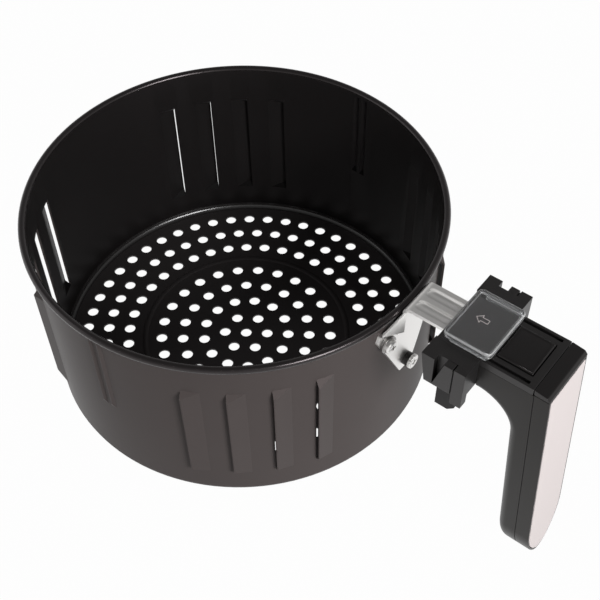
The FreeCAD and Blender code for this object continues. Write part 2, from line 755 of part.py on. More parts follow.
def clear_cover():
    """Sliding clear guard on two rails; pushed along +X it covers the release button."""
    top = box(guard_in, guard_out, -guard_half, guard_half, guard_under, deck_top + guard_height)
    edges = [e for e in top.Edges if e.BoundBox.ZMin > guard_under + 0.1]
    top = top.makeChamfer(0.5, edges)
    inside = guard_half - guard_wall
    skirt = box(guard_in, guard_out, inside, guard_half, deck_top + run_gap, guard_under + 0.1)
    lip_low = deck_top + button_proud + 0.5
    lips = [
        box(x, x + guard_wall, -guard_half, guard_half, lip_low, guard_under + 0.1)
        for x in (guard_in, guard_out - guard_wall)]
    rail = guard_rail(guard_in, guard_out, 0)
    return joined([top, skirt, mirrored(skirt), rail, mirrored(rail)] + lips)


nodes = [
    basket_wall, basket_floor, bracket, bracket_screws, bracket_washers, lower_screw, lower_spacer,
    bracket_nuts, latch_housing, tongue_screws, lever_pin, latch_lever, deck_cover, grip_rear,
    grip_front, grip_screws, trim_plate, top_cap, release_button, button_springs, clear_cover]

os.makedirs("parts", exist_ok=True)
for node in nodes:
    shape = node()
    if not shape.isValid():
        raise ValueError("bad shape: " + node.__name__)
    shape.exportStep("parts/" + node.__name__ + ".step")
    print(node.__name__, len(shape.Solids), round(shape.Volume, 1))
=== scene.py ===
import bpy
import bmesh
import json
from math import cos, pi, radians, sin
from mathutils import Matrix, Vector


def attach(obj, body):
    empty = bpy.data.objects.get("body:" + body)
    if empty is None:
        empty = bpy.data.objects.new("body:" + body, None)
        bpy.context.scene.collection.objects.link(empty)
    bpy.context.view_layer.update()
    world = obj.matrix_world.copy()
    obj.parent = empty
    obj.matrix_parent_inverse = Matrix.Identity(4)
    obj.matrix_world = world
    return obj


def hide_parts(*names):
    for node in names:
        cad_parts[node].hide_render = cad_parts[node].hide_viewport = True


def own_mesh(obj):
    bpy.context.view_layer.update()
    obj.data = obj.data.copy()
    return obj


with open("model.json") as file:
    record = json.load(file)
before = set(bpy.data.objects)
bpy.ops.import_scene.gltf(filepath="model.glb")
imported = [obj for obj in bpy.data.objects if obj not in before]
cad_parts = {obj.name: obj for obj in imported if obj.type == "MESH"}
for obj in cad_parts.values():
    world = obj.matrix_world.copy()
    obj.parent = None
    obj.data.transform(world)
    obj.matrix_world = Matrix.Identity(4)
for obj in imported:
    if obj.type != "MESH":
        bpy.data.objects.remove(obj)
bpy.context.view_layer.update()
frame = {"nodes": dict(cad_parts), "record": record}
record = frame["record"]
nodeBody = {n: b for b, names in record["behaviour"]["bodies"].items() for n in names}
nodeSlot = {s["node"]: s["material_slot"] for s in record["subparts"]}
mm = 0.001
print("frame loaded:", len(frame["nodes"]), "nodes")


# shared shader groups

noise = {"fineDetail": 3.0, "broadDetail": 4.0, "middle": 0.5, "bumpDepth": 0.00005}
fleckEdge = {"outside": 0.28, "inside": 0.08}


def newGroup(name, inputs, outputs):
    # a shader group whose sockets all carry plain numbers
    group = bpy.data.node_groups.new(name, "ShaderNodeTree")
    for label in inputs:
        group.interface.new_socket(label, in_out="INPUT", socket_type="NodeSocketFloat")
    for label in outputs:
        group.interface.new_socket(label, in_out="OUTPUT", socket_type="NodeSocketFloat")
    start = group.nodes.new("NodeGroupInput")
    end = group.nodes.new("NodeGroupOutput")
    return group, start, end


def addNode(tree, kind, **settings):
    node = tree.nodes.new(kind)
    for key, value in settings.items():
        setattr(node, key, value)
    return node


def makeFineGrain():
    # moulded or sprayed skin: a fine noise for the bump, a broad one for patchy gloss
    group, start, end = newGroup(
        "fineGrain", ("Scale", "Patch Scale", "Roughness", "Roughness Spread"),
        ("Height", "Roughness", "Patch"))
    link = group.links.new
    place = addNode(group, "ShaderNodeTexCoord")
    fine = addNode(group, "ShaderNodeTexNoise")
    fine.inputs["Detail"].default_value = noise["fineDetail"]
    broad = addNode(group, "ShaderNodeTexNoise")
    broad.inputs["Detail"].default_value = noise["broadDetail"]
    link(place.outputs["Object"], fine.inputs["Vector"])
    link(place.outputs["Object"], broad.inputs["Vector"])
    link(start.outputs["Scale"], fine.inputs["Scale"])
    link(start.outputs["Patch Scale"], broad.inputs["Scale"])
    middle = addNode(group, "ShaderNodeMath", operation="SUBTRACT")
    middle.inputs[1].default_value = noise["middle"]
    link(broad.outputs["Fac"], middle.inputs[0])
    spread = addNode(group, "ShaderNodeMath", operation="MULTIPLY_ADD")
    link(middle.outputs[0], spread.inputs[0])
    link(start.outputs["Roughness Spread"], spread.inputs[1])
    link(start.outputs["Roughness"], spread.inputs[2])
    link(fine.outputs["Fac"], end.inputs["Height"])
    link(spread.outputs[0], end.inputs["Roughness"])
    link(broad.outputs["Fac"], end.inputs["Patch"])
    return group


def makeSpeckle():
    # pale flecks in a dark coating
    group, start, end = newGroup("coatFlecks", ("Scale", "Amount"), ("Mask",))
    link = group.links.new
    place = addNode(group, "ShaderNodeTexCoord")
    cells = addNode(group, "ShaderNodeTexVoronoi")
    link(place.outputs["Object"], cells.inputs["Vector"])
    link(start.outputs["Scale"], cells.inputs["Scale"])
    edge = addNode(group, "ShaderNodeMapRange")
    edge.inputs["From Min"].default_value = fleckEdge["outside"]
    edge.inputs["From Max"].default_value = fleckEdge["inside"]
    link(cells.outputs["Distance"], edge.inputs["Value"])
    amount = addNode(group, "ShaderNodeMath", operation="MULTIPLY")
    link(edge.outputs["Result"], amount.inputs[0])
    link(start.outputs["Amount"], amount.inputs[1])
    link(amount.outputs[0], end.inputs["Mask"])
    return group


fineGrain = makeFineGrain()
coatFlecks = makeSpeckle()


# materials

plainLook = {"metallic": 0.0, "ior": 1.5, "specular": 0.5, "tint": (1.0, 1.0, 1.0)}


def newMaterial(name, ownLook):
    look = {**plainLook, **ownLook}
    material = bpy.data.materials.new(name)
    material.use_nodes = True
    tree = material.node_tree
    link = tree.links.new
    shader = tree.nodes["Principled BSDF"]
    shader.inputs["Metallic"].default_value = look["metallic"]
    shader.inputs["IOR"].default_value = look["ior"]
    shader.inputs["Specular IOR Level"].default_value = look["specular"]
    shader.inputs["Specular Tint"].default_value = (*look["tint"], 1)
    grain = addNode(tree, "ShaderNodeGroup", node_tree=fineGrain)
    grain.inputs["Scale"].default_value = look["grainScale"]
    grain.inputs["Patch Scale"].default_value = look["patchScale"]
    grain.inputs["Roughness"].default_value = look["roughness"]
    grain.inputs["Roughness Spread"].default_value = look["roughnessSpread"]
    link(grain.outputs["Roughness"], shader.inputs["Roughness"])
    bump = addNode(tree, "ShaderNodeBump")
    bump.inputs["Strength"].default_value = look["grainStrength"]
    bump.inputs["Distance"].default_value = noise["bumpDepth"]
    link(grain.outputs["Height"], bump.inputs["Height"])
    link(bump.outputs["Normal"], shader.inputs["Normal"])
    tint = addNode(tree, "ShaderNodeMix", data_type="RGBA")
    tint.inputs["A"].default_value = (*look["dark"], 1)
    tint.inputs["B"].default_value = (*look["light"], 1)
    link(grain.outputs["Patch"], tint.inputs["Factor"])
    colour = tint.outputs["Result"]
    if "flecks" in look:
        flecks = addNode(tree, "ShaderNodeGroup", node_tree=coatFlecks)
        flecks.inputs["Scale"].default_value = look["fleckScale"]
        flecks.inputs["Amount"].default_value = look["flecks"]
        over = addNode(tree, "ShaderNodeMix", data_type="RGBA")
        over.inputs["B"].default_value = (*look["fleckColour"], 1)
        link(flecks.outputs["Mask"], over.inputs["Factor"])
        link(colour, over.inputs["A"])
        colour = over.outputs["Result"]
    link(colour, shader.inputs["Base Color"])
    return material


looks = {
    "dark_coating": {
        "dark": (0.0660, 0.0555, 0.0539), "light": (0.0800, 0.0680, 0.0660), "specular": 0.06,
        "roughness": 0.38, "roughnessSpread": 0.06, "tint": (1.0, 0.86, 0.88),
        "grainScale": 1400.0, "grainStrength": 0.16, "patchScale": 18.0,
        "flecks": 0.10, "fleckScale": 900.0, "fleckColour": (0.11, 0.096, 0.093)},
    # a darker copy of the outer coating for faces that look into the basket: painted shade, the
    # same coating as outside
    "inside_coating_painted_shade": {
        "dark": (0.0060, 0.0053, 0.0053), "light": (0.0084, 0.0075, 0.0075), "specular": 0.20,
        "roughness": 0.44, "roughnessSpread": 0.06, "tint": (1.0, 0.90, 0.92),
        "grainScale": 1400.0, "grainStrength": 0.14, "patchScale": 18.0,
        "flecks": 0.08, "fleckScale": 900.0, "fleckColour": (0.03, 0.027, 0.027)},
    # a lighter copy of the inner coating for the floor: painted light
    "floor_coating_painted_light": {
        "dark": (0.0290, 0.0262, 0.0262), "light": (0.0370, 0.0335, 0.0335), "specular": 0.32,
        "roughness": 0.36, "roughnessSpread": 0.06, "tint": (1.0, 0.90, 0.92),
        "grainScale": 1400.0, "grainStrength": 0.14, "patchScale": 18.0,
        "flecks": 0.08, "fleckScale": 900.0, "fleckColour": (0.07, 0.063, 0.063)},
    # a lighter, glossier copy of the inner coating on the bottom bend: painted light for the corner
    # highlight
    "corner_coating_painted_highlight": {
        "dark": (0.0150, 0.0135, 0.0135), "light": (0.0200, 0.0180, 0.0180), "specular": 1.00,
        "roughness": 0.25, "roughnessSpread": 0.05,
        "grainScale": 1400.0, "grainStrength": 0.05, "patchScale": 18.0},
    # a darker, less glossy copy of the inner coating on the louvre ends: painted shade
    "louvre_end_painted_shade": {
        "dark": (0.0045, 0.0040, 0.0040), "light": (0.0060, 0.0054, 0.0054), "specular": 0.04,
        "roughness": 0.50, "roughnessSpread": 0.06,
        "grainScale": 1400.0, "grainStrength": 0.14, "patchScale": 18.0},
    # a darker, glossier copy of the coating for the rolled rim: painted shade
    "rim_coating_painted_shade": {
        "dark": (0.0075, 0.0066, 0.0066), "light": (0.0105, 0.0094, 0.0094), "specular": 0.45,
        "roughness": 0.24, "roughnessSpread": 0.06, "tint": (1.0, 0.90, 0.92),
        "grainScale": 1400.0, "grainStrength": 0.10, "patchScale": 18.0},
    "bright_steel": {
        "dark": (0.80, 0.785, 0.77), "light": (0.88, 0.87, 0.855), "metallic": 1.0,
        "roughness": 0.36, "roughnessSpread": 0.10,
        "grainScale": 700.0, "grainStrength": 0.05, "patchScale": 40.0},
    # a non-metal, pale copy of the bracket steel, bright whatever it faces: painted light on the
    # gussets
    "gusset_steel_painted_light": {
        "dark": (0.76, 0.75, 0.735), "light": (0.82, 0.81, 0.795),
        "roughness": 0.40, "roughnessSpread": 0.08,
        "grainScale": 700.0, "grainStrength": 0.05, "patchScale": 40.0},
    "washer_steel": {
        "dark": (0.26, 0.25, 0.245), "light": (0.34, 0.33, 0.325), "metallic": 1.0,
        "roughness": 0.30, "roughnessSpread": 0.10,
        "grainScale": 700.0, "grainStrength": 0.05, "patchScale": 40.0},
    "black_plastic": {
        "dark": (0.0070, 0.0066, 0.0066), "light": (0.0100, 0.0096, 0.0096), "specular": 0.46,
        "roughness": 0.36, "roughnessSpread": 0.08, "tint": (1.0, 0.95, 0.95),
        "grainScale": 1800.0, "grainStrength": 0.22, "patchScale": 30.0},
    "lever_plastic": {
        "dark": (0.0060, 0.0057, 0.0057), "light": (0.0085, 0.0082, 0.0082), "specular": 0.20,
        "roughness": 0.42, "roughnessSpread": 0.08, "tint": (1.0, 0.95, 0.95),
        "grainScale": 1800.0, "grainStrength": 0.22, "patchScale": 30.0},
    "gloss_black": {
        "dark": (0.0065, 0.006, 0.006), "light": (0.009, 0.0085, 0.0085), "specular": 0.36,
        "roughness": 0.20, "roughnessSpread": 0.08, "tint": (1.0, 0.94, 0.94),
        "grainScale": 900.0, "grainStrength": 0.05, "patchScale": 40.0},
    "grip_grey": {
        "dark": (0.0075, 0.0069, 0.0065), "light": (0.0105, 0.0097, 0.0091), "specular": 0.25,
        "roughness": 0.34, "roughnessSpread": 0.07, "tint": (1.0, 0.95, 0.92),
        "grainScale": 1600.0, "grainStrength": 0.16, "patchScale": 22.0},
    "pale_trim": {
        "dark": (0.65, 0.585, 0.577), "light": (0.68, 0.612, 0.603),
        "roughness": 0.42, "roughnessSpread": 0.05,
        "grainScale": 600.0, "grainStrength": 0.03, "patchScale": 15.0},
    "clear_plastic": {
        "dark": (0.93, 0.94, 0.95), "light": (0.97, 0.975, 0.98), "ior": 1.49, "transmission": 0.99,
        "roughness": 0.03, "roughnessSpread": 0.03,
        "grainScale": 500.0, "grainStrength": 0.01, "patchScale": 30.0},
    # a hazier copy of the clear plastic for the lid's rounded top edges: painted highlight
    "clear_edge_painted_highlight": {
        "dark": (0.93, 0.94, 0.95), "light": (0.97, 0.975, 0.98), "ior": 1.49, "transmission": 0.72,
        "roughness": 0.10, "roughnessSpread": 0.05,
        "grainScale": 500.0, "grainStrength": 0.01, "patchScale": 30.0}}

materials = {name: newMaterial(name, look) for name, look in looks.items()}


def letLampsThrough(material, look):
    # clear plastic: lamps reach what lies under it
    tree = material.node_tree
    shader = tree.nodes["Principled BSDF"]
    shader.inputs["Transmission Weight"].default_value = look["transmission"]
    rays = addNode(tree, "ShaderNodeLightPath")
    clear = addNode(tree, "ShaderNodeBsdfTransparent")
    mix = addNode(tree, "ShaderNodeMixShader")
    tree.links.new(rays.outputs["Is Shadow Ray"], mix.inputs["Fac"])
    tree.links.new(shader.outputs["BSDF"], mix.inputs[1])
    tree.links.new(clear.outputs["BSDF"], mix.inputs[2])
    tree.links.new(mix.outputs["Shader"], tree.nodes["Material Output"].inputs["Surface"])


for name in ("clear_plastic", "clear_edge_painted_highlight"):
    letLampsThrough(materials[name], looks[name])
for nodeName, node in frame["nodes"].items():
    node.data.materials.clear()
    node.data.materials.append(materials[nodeSlot[nodeName]])
print("materials made:", len(materials))


# pieces, with sizes in millimetres and angles in degrees

def movedVerts(made):
    # the vertices that an extrude operator made
    return [v for v in made["geom"] if isinstance(v, bmesh.types.BMVert)]


def spinRound(bm, steps):
    # the outline drawn so far, turned once round the basket's axis
    bmesh.ops.spin(
        bm, geom=bm.verts[:] + bm.edges[:], axis=(0, 0, 1), cent=(0, 0, 0), angle=2 * pi,
        steps=steps, use_merge=True)


roundBevel = {"affect": "EDGES", "profile": 0.5, "material": -1}


def finishPiece(bm, name, slotName, body, standsFor=(), smoothAngle=35):
    bmesh.ops.recalc_face_normals(bm, faces=bm.faces)
    return placePiece(bm, name, slotName, body, standsFor, smoothAngle)


softAngle = 62


def placePiece(bm, name, slotName, body, standsFor, smoothAngle, softBelow=-1.0, softAbove=1.0):
    # edges below or above the two heights, in metres, stay soft up to softAngle
    for face in bm.faces:
        face.smooth = True
    for edge in bm.edges:
        height = (edge.verts[0].co.z + edge.verts[1].co.z) / 2
        limit = radians(softAngle if height < softBelow or height > softAbove else smoothAngle)
        edge.smooth = len(edge.link_faces) == 2 and edge.calc_face_angle(0) < limit
    mesh = bpy.data.meshes.new(name)
    bm.to_mesh(mesh)
    bm.free()
    piece = bpy.data.objects.new(name, mesh)
    bpy.context.scene.collection.objects.link(piece)
    mesh.materials.append(materials[slotName])
    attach(piece, body)
    for nodeName in standsFor:
        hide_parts(nodeName)
    return piece


edgeRounding = {"angle": 38, "segments": 2}


def softEdges(piece, width):
    bevel = piece.modifiers.new("softEdges", "BEVEL")
    bevel.width = width * mm
    bevel.segments = edgeRounding["segments"]
    bevel.limit_method = "ANGLE"
    bevel.angle_limit = radians(edgeRounding["angle"])
    bevel.harden_normals = True


skinMerge = {"distance": 0.01, "flatAngle": 0.6}


def smoothCopy(nodeName, smoothAngle, edgeWidth=0, **heights):
    # a merged, smooth-shaded copy of a CAD node, with small rounded edges
    bm = bmesh.new()
    bm.from_mesh(frame["nodes"][nodeName].data)
    bmesh.ops.remove_doubles(bm, verts=bm.verts, dist=skinMerge["distance"] * mm)
    bmesh.ops.dissolve_limit(
        bm, angle_limit=radians(skinMerge["flatAngle"]), verts=bm.verts, edges=bm.edges)
    piece = placePiece(
        bm, nodeName + "_skin", nodeSlot[nodeName], nodeBody[nodeName], [nodeName], smoothAngle,
        **heights)
    if edgeWidth:
        softEdges(piece, edgeWidth)
    return piece


skinAngle = 32
edgeWidths = {
    "bracket": 0.35, "bracket_washers": 0.2, "lower_spacer": 0.25, "bracket_nuts": 0.25,
    "latch_housing": 0.45, "latch_lever": 0.4, "deck_cover": 0.3, "grip_rear": 0.4,
    "grip_front": 0.5, "trim_plate": 0.25, "top_cap": 0.5, "release_button": 0.3}
for nodeName, edgeWidth in edgeWidths.items():
    smoothCopy(nodeName, skinAngle, edgeWidth)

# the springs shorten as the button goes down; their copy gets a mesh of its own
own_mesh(smoothCopy("button_springs", skinAngle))

bpy.data.objects["bracket_washers_skin"].data.materials[0] = materials["washer_steel"]
bpy.data.objects["latch_lever_skin"].data.materials[0] = materials["lever_plastic"]

# the lower screw's sleeve is shorter than its node
sleeve = {"endFrom": 103.4, "shorter": 2.4}
for vert in bpy.data.objects["lower_spacer_skin"].data.vertices:
    if vert.co.x > sleeve["endFrom"] * mm:
        vert.co.x -= sleeve["shorter"] * mm


wallRounds = {
    "outside": 97.4, "inside": 96.4, "nearWall": 0.05, "squareLean": 0.985,
    "bendRadius": 93.6, "bendHeight": 3.8, "slack": 0.01,
    "smoothAngle": 14, "softBelow": 5.5, "rimFrom": 95.0}


def roundNormals(mesh, size):
    # exact shading normals on the wall's two cylinders and its bottom bend
    normals = [Vector(c.vector) for c in mesh.corner_normals]
    for face in mesh.polygons:
        for k in face.loop_indices:
            point = mesh.vertices[mesh.loops[k].vertex_index].co / mm
            radius = point.xy.length
            out = Vector((point.x / radius, point.y / radius, 0))
            lean = face.normal.dot(out)
            gap = min(abs(radius - size["outside"]), abs(radius - size["inside"]))
            onWall = gap < size["nearWall"] and abs(lean) > size["squareLean"]
            lift = point.z - size["bendHeight"]
            reach = radius - size["bendRadius"]
            if onWall and point.z < size["rimFrom"]:
                normals[k] = out if lean > 0 else -out
            elif lift < size["slack"] and reach > -size["slack"]:
                bend = out * reach + Vector((0, 0, lift))
                bend.normalize()
                normals[k] = bend if face.normal.dot(bend) > 0 else -bend
    mesh.normals_split_custom_set(normals)


# the inner coats are copies of the outer coating: darker ones paint shade on the inner wall and
# louvre ends, a lighter glossier one paints a highlight on the bottom bend
insideCoats = {
    "names": ("inside_coating_painted_shade", "corner_coating_painted_highlight", "louvre_end_painted_shade"),
    "wall": 1, "corner": 2, "louvreEnd": 3,
    "inwardLean": 0.2, "cornerRise": 0.1, "cornerTop": 10.0, "endRise": 0.25, "endTop": 50.0}


def paintInsideShadeAndLight(mesh, coats):
    # faces that look into the basket take the inner coats, which paint shade on the wall and louvre
    # ends and a highlight on the bottom bend
    for name in coats["names"]:
        mesh.materials.append(materials[name])
    for face in mesh.polygons:
        out = Vector((face.center.x, face.center.y, 0)).normalized()
        rise, height = face.normal.z, face.center.z / mm
        if rise > coats["cornerRise"] and height < coats["cornerTop"]:
            face.material_index = coats["corner"]
        elif face.normal.dot(out) < -coats["inwardLean"]:
            isEnd = rise > coats["endRise"] and height < coats["endTop"]
            face.material_index = coats["louvreEnd" if isEnd else "wall"]


wallSkin = smoothCopy(
    "basket_wall", wallRounds["smoothAngle"],
    softBelow=wallRounds["softBelow"] * mm, softAbove=wallRounds["rimFrom"] * mm)
roundNormals(wallSkin.data, wallRounds)
paintInsideShadeAndLight(wallSkin.data, insideCoats)
print("smooth skins made:", len(edgeWidths) + 2)


floorPlate = {
    "radius": 93.58, "sides": 160, "thickness": 1.0,
    "holeRadius": 2.9, "holeSides": 20, "rowAngle": 34.7,
    "rings": (
        (11.32, 6), (22.64, 13), (33.96, 19), (45.28, 25), (62.96, 38), (74.28, 44), (85.6, 50)),
    "beadRadius": 54.12, "beadWidth": 3.2, "beadHeight": 0.35, "beadSink": 0.05,
    "beadSegments": 6, "beadSteps": 128}


def makeFloor(size):
    bm = bmesh.new()
    bmesh.ops.create_circle(bm, segments=size["sides"], radius=size["radius"] * mm)
    spots = [(0.0, 0.0)]
    for ring, count in size["rings"]:
        for k in range(count):
            turn = radians(size["rowAngle"] + 360 * k / count)
            spots.append((ring * cos(turn), ring * sin(turn)))
    for x, y in spots:
        place = Matrix.Translation((x * mm, y * mm, 0))
        bmesh.ops.create_circle(
            bm, segments=size["holeSides"], radius=size["holeRadius"] * mm, matrix=place)
    bmesh.ops.triangle_fill(bm, use_beauty=True, edges=bm.edges)
    top = movedVerts(bmesh.ops.extrude_face_region(bm, geom=bm.faces))
    bmesh.ops.translate(bm, verts=top, vec=(0, 0, size["thickness"] * mm))
    return finishPiece(bm, "floor_plate", "dark_coating", "basket", ["basket_floor"])


def makeFloorBead(size):
    # the shallow ring pressed between the two fields of holes
    bm = bmesh.new()
    half = size["beadWidth"] / 2
    arc = []
    for k in range(size["beadSegments"] + 1):
        t = -1 + 2 * k / size["beadSegments"]
        height = size["thickness"] - size["beadSink"] + size["beadHeight"] * (1 - t * t)
        arc.append(bm.verts.new(((size["beadRadius"] + half * t) * mm, 0, height * mm)))
    for pair in zip(arc, arc[1:] + arc[:1]):
        bm.edges.new(pair)
    spinRound(bm, size["beadSteps"])
    return finishPiece(bm, "floor_bead", "dark_coating", "basket")


# the floor plate and its ring take the lighter copy of the inner coating: painted light
for piece in (makeFloor(floorPlate), makeFloorBead(floorPlate)):
    piece.data.materials[0] = materials["floor_coating_painted_light"]
print("floor made")


rimRoll = {
    "ringRadius": 98.2, "height": 97.7, "rollRadius": 1.8, "sides": 16, "steps": 180,
    "smoothAngle": 60}


def makeRim(size):
    # the rolled rim as a full round
    bm = bmesh.new()
    centre = Matrix.Translation((size["ringRadius"] * mm, 0, size["height"] * mm))
    upright = Matrix.Rotation(pi / 2, 4, "X")
    bmesh.ops.create_circle(
        bm, segments=size["sides"], radius=size["rollRadius"] * mm, matrix=centre @ upright)
    spinRound(bm, size["steps"])
    return finishPiece(bm, "rim_roll", "dark_coating", "basket", smoothAngle=size["smoothAngle"])


# the rim takes the darker copy of the coating: painted shade
makeRim(rimRoll).data.materials[0] = materials["rim_coating_painted_shade"]
print("rim made")


screwLook = {
    "upper": {
        "seat": 100.8, "radius": 3.5, "height": 2.4, "edge": 1.0, "arc": 16.0, "z": 82.5,
        "teeth": 0, "reach": 1.7, "half": 0.42, "deep": 1.0, "sides": 32},
    "lower": {
        "seat": 102.0, "radius": 3.7, "height": 1.8, "edge": 0.6, "arc": 0.0, "z": 57.0,
        "teeth": 16, "toothDepth": 0.28, "reach": 1.9, "half": 0.45, "deep": 0.9, "sides": 64}}
screwBuild = {
    "shankEnd": 91.8, "shankRadius": 2.0, "shankSides": 16, "arcRadius": 99.2, "edgeSteps": 4,
    "cutReach": 0.0001, "flatRise": 0.99}


def makeScrew(bm, size, build, side):
    # rounded head with a cross recess, and its shank, made along +Z and then turned onto the wall
    part = bmesh.new()
    made = bmesh.ops.create_circle(
        part, cap_ends=True, segments=size["sides"], radius=size["radius"])
    ring = made["verts"]
    if size["teeth"]:
        low = [v for k, v in enumerate(ring) if k * size["teeth"] * 2 // size["sides"] % 2]
        inward = 1 - size["toothDepth"] / size["radius"]
        bmesh.ops.scale(part, vec=(inward, inward, 1), verts=low)
    crown = movedVerts(bmesh.ops.extrude_face_region(part, geom=part.faces[:]))
    bmesh.ops.translate(part, verts=crown, vec=(0, 0, size["height"]))
    rimEdges = [e for e in part.edges if all(v in crown for v in e.verts)]
    bmesh.ops.bevel(
        part, geom=rimEdges, offset=size["edge"], segments=build["edgeSteps"], **roundBevel)
    for x, y in ((1, 0), (-1, 0), (0, 1), (0, -1)):
        for offset in (size["half"], size["reach"]):
            bmesh.ops.bisect_plane(
                part, geom=part.verts[:] + part.edges[:] + part.faces[:], dist=build["cutReach"],
                plane_co=(x * offset, y * offset, 0), plane_no=(x, y, 0))
    recess = []
    for face in part.faces:
        spot = face.calc_center_median()
        near, far = sorted((abs(spot.x), abs(spot.y)))
        isFlat = face.normal.z > build["flatRise"]
        if isFlat and near < size["half"] and far < size["reach"]:
            recess.append(face)
    floor = movedVerts(bmesh.ops.extrude_face_region(part, geom=recess))
    bmesh.ops.delete(part, geom=recess, context="FACES_ONLY")
    bmesh.ops.translate(part, verts=floor, vec=(0, 0, -size["deep"]))
    length = size["seat"] - build["shankEnd"]
    bmesh.ops.create_cone(
        part, cap_ends=True, segments=build["shankSides"],
        radius1=build["shankRadius"], radius2=build["shankRadius"],
        depth=length, matrix=Matrix.Translation((0, 0, -length / 2)))
    turn = Matrix.Rotation(side * size["arc"] / build["arcRadius"], 4, "Z")
    seat = Matrix.Translation((size["seat"] * mm, 0, size["z"] * mm))
    place = turn @ seat @ Matrix.Rotation(pi / 2, 4, "Y") @ Matrix.Scale(mm, 4)
    bmesh.ops.transform(part, matrix=place, verts=part.verts)
    mesh = bpy.data.meshes.new("screw")
    part.to_mesh(mesh)
    part.free()
    bm.from_mesh(mesh)
    bpy.data.meshes.remove(mesh)


def makeScrews(nodeName, size, sides):
    bm = bmesh.new()
    for side in sides:
        makeScrew(bm, size, screwBuild, side)
    finishPiece(bm, nodeName + "_fine", "bright_steel", "basket", [nodeName])


makeScrews("bracket_screws", screwLook["upper"], (-1, 1))
makeScrews("lower_screw", screwLook["lower"], (0,))
print("screws made")


tongueRibs = {
    "start": 104.2, "end": 121.4, "spacing": 8.4, "width": 6.2, "height": 1.4, "fade": 4.0,
    "top": 103.0, "lap": 0.02, "sink": 0.5, "along": 20, "across": 14, "smoothAngle": 60}


def makeTongueRibs(size):
    # two soft embossed ribs over the plate's own
    bm = bmesh.new()
    length = size["end"] - size["start"]
    for side in (-1, 1):
        made = bmesh.ops.create_grid(
            bm, x_segments=size["along"], y_segments=size["across"], size=0.5)
        for vert in made["verts"]:
            u, v = vert.co.x, vert.co.y
            ends = min(1.0, (0.5 + u) * length / size["fade"])
            rise = cos(pi * v) ** 2 * (1 - (1 - ends) ** 2)
            vert.co = mm * Vector((
                size["start"] + (u + 0.5) * length, side * size["spacing"] / 2 + v * size["width"],
                size["top"] - size["lap"] + size["height"] * rise))
    border = [e for e in bm.edges if e.is_boundary]
    for vert in movedVerts(bmesh.ops.extrude_edge_only(bm, edges=border)):
        vert.co.z = (size["top"] - size["sink"]) * mm
    bmesh.ops.holes_fill(bm, edges=[e for e in bm.edges if e.is_boundary], sides=0)
    finishPiece(bm, "tongue_ribs", "bright_steel", "basket", smoothAngle=size["smoothAngle"])


makeTongueRibs(tongueRibs)
print("tongue ribs made")


def outlineStrip(points, width, height, name, slotName, body):
    # a thin raised outline that follows a closed flat shape
    bm = bmesh.new()
    face = bm.faces.new([bm.verts.new(Vector(p) * mm) for p in points])
    face.normal_update()
    bmesh.ops.inset_individual(bm, faces=[face], thickness=width * mm, use_even_offset=True)
    bmesh.ops.delete(bm, geom=[face], context="FACES_ONLY")
    top = movedVerts(bmesh.ops.extrude_face_region(bm, geom=bm.faces))
    bmesh.ops.translate(bm, verts=top, vec=(0, 0, height * mm))
    finishPiece(bm, name, slotName, body)


cornerSteps = 4


def roundedBox(x0, x1, half, radius, z):
    # the outline of a rectangle with rounded corners
    points = []
    corners = ((x1 - radius, half - radius, 0), (x0 + radius, half - radius, 90),
               (x0 + radius, radius - half, 180), (x1 - radius, radius - half, 270))
    for x, y, start in corners:
        for k in range(cornerSteps + 1):
            t = radians(start + 90 * k / cornerSteps)
            points.append((x + radius * cos(t), y + radius * sin(t), z))
    return points


guardMark = {
    "tip": 130.0, "neck": 132.6, "end": 136.0, "half": 2.4, "stem": 1.1,
    "z": 108.92, "height": 0.08, "line": 0.18}
buttonFrame = {
    "x0": 147.3, "x1": 161.7, "half": 8.5, "radius": 1.6, "z": 105.88, "height": 0.14, "line": 0.32}


def makeGuardMark(size):
    # a plain raised arrow on the guard's top, towards the basket
    tip, neck, end, half, stem = (size[k] for k in ("tip", "neck", "end", "half", "stem"))
    flat = (
        (tip, 0), (neck, -half), (neck, -stem), (end, -stem),
        (end, stem), (neck, stem), (neck, half))
    arrow = [(x, y, size["z"]) for x, y in flat]
    outlineStrip(arrow, size["line"], size["height"], "guard_mark", "pale_trim", "guard")


def makeButtonFrame(size):
    # a raised line round the button's top
    ring = roundedBox(size["x0"], size["x1"], size["half"], size["radius"], size["z"])
    outlineStrip(ring, size["line"], size["height"], "button_frame", "gloss_black", "button")


makeGuardMark(guardMark)
makeButtonFrame(buttonFrame)
print("marks made")


wingPanel = {
    "inner": 23.0, "outer": 26.56, "edge": 0.35,
    "outline": ((127.35, 88.6), (127.35, 89.4), (131.8, 104.95), (136.0, 104.95), (136.0, 88.6))}
bracketGusset = {
    "thickness": 1.2, "edge": 0.2,
    "corners": ((102.35, 9.3, 99.6), (102.35, 9.3, 86.8), (97.35, 19.4, 89.0))}
guardShell = {
    "x0": 123.0, "x1": 145.6, "half": 15.0, "corner": 2.4, "wall": 1.45,
    "top": 108.94, "lip": 106.4,
    "edge": 0.9, "edgeSteps": 4, "edgeRises": (0.12, 0.96), "slack": 0.01, "smoothAngle": 35,
    "skirt": 105.3, "footTop": 103.5, "sole": 102.8,
    "railMiddle": 13.2, "railNeck": 1.0, "railFoot": 2.2, "railStart": 126.9, "railEnd": 144.1}


def platePiece(bm, points, shift):
    # a flat outline pulled out into a plate
    face = bm.faces.new([bm.verts.new(Vector(p) * mm) for p in points])
    moved = movedVerts(bmesh.ops.extrude_face_region(bm, geom=[face]))
    bmesh.ops.translate(bm, verts=moved, vec=Vector(shift) * mm)


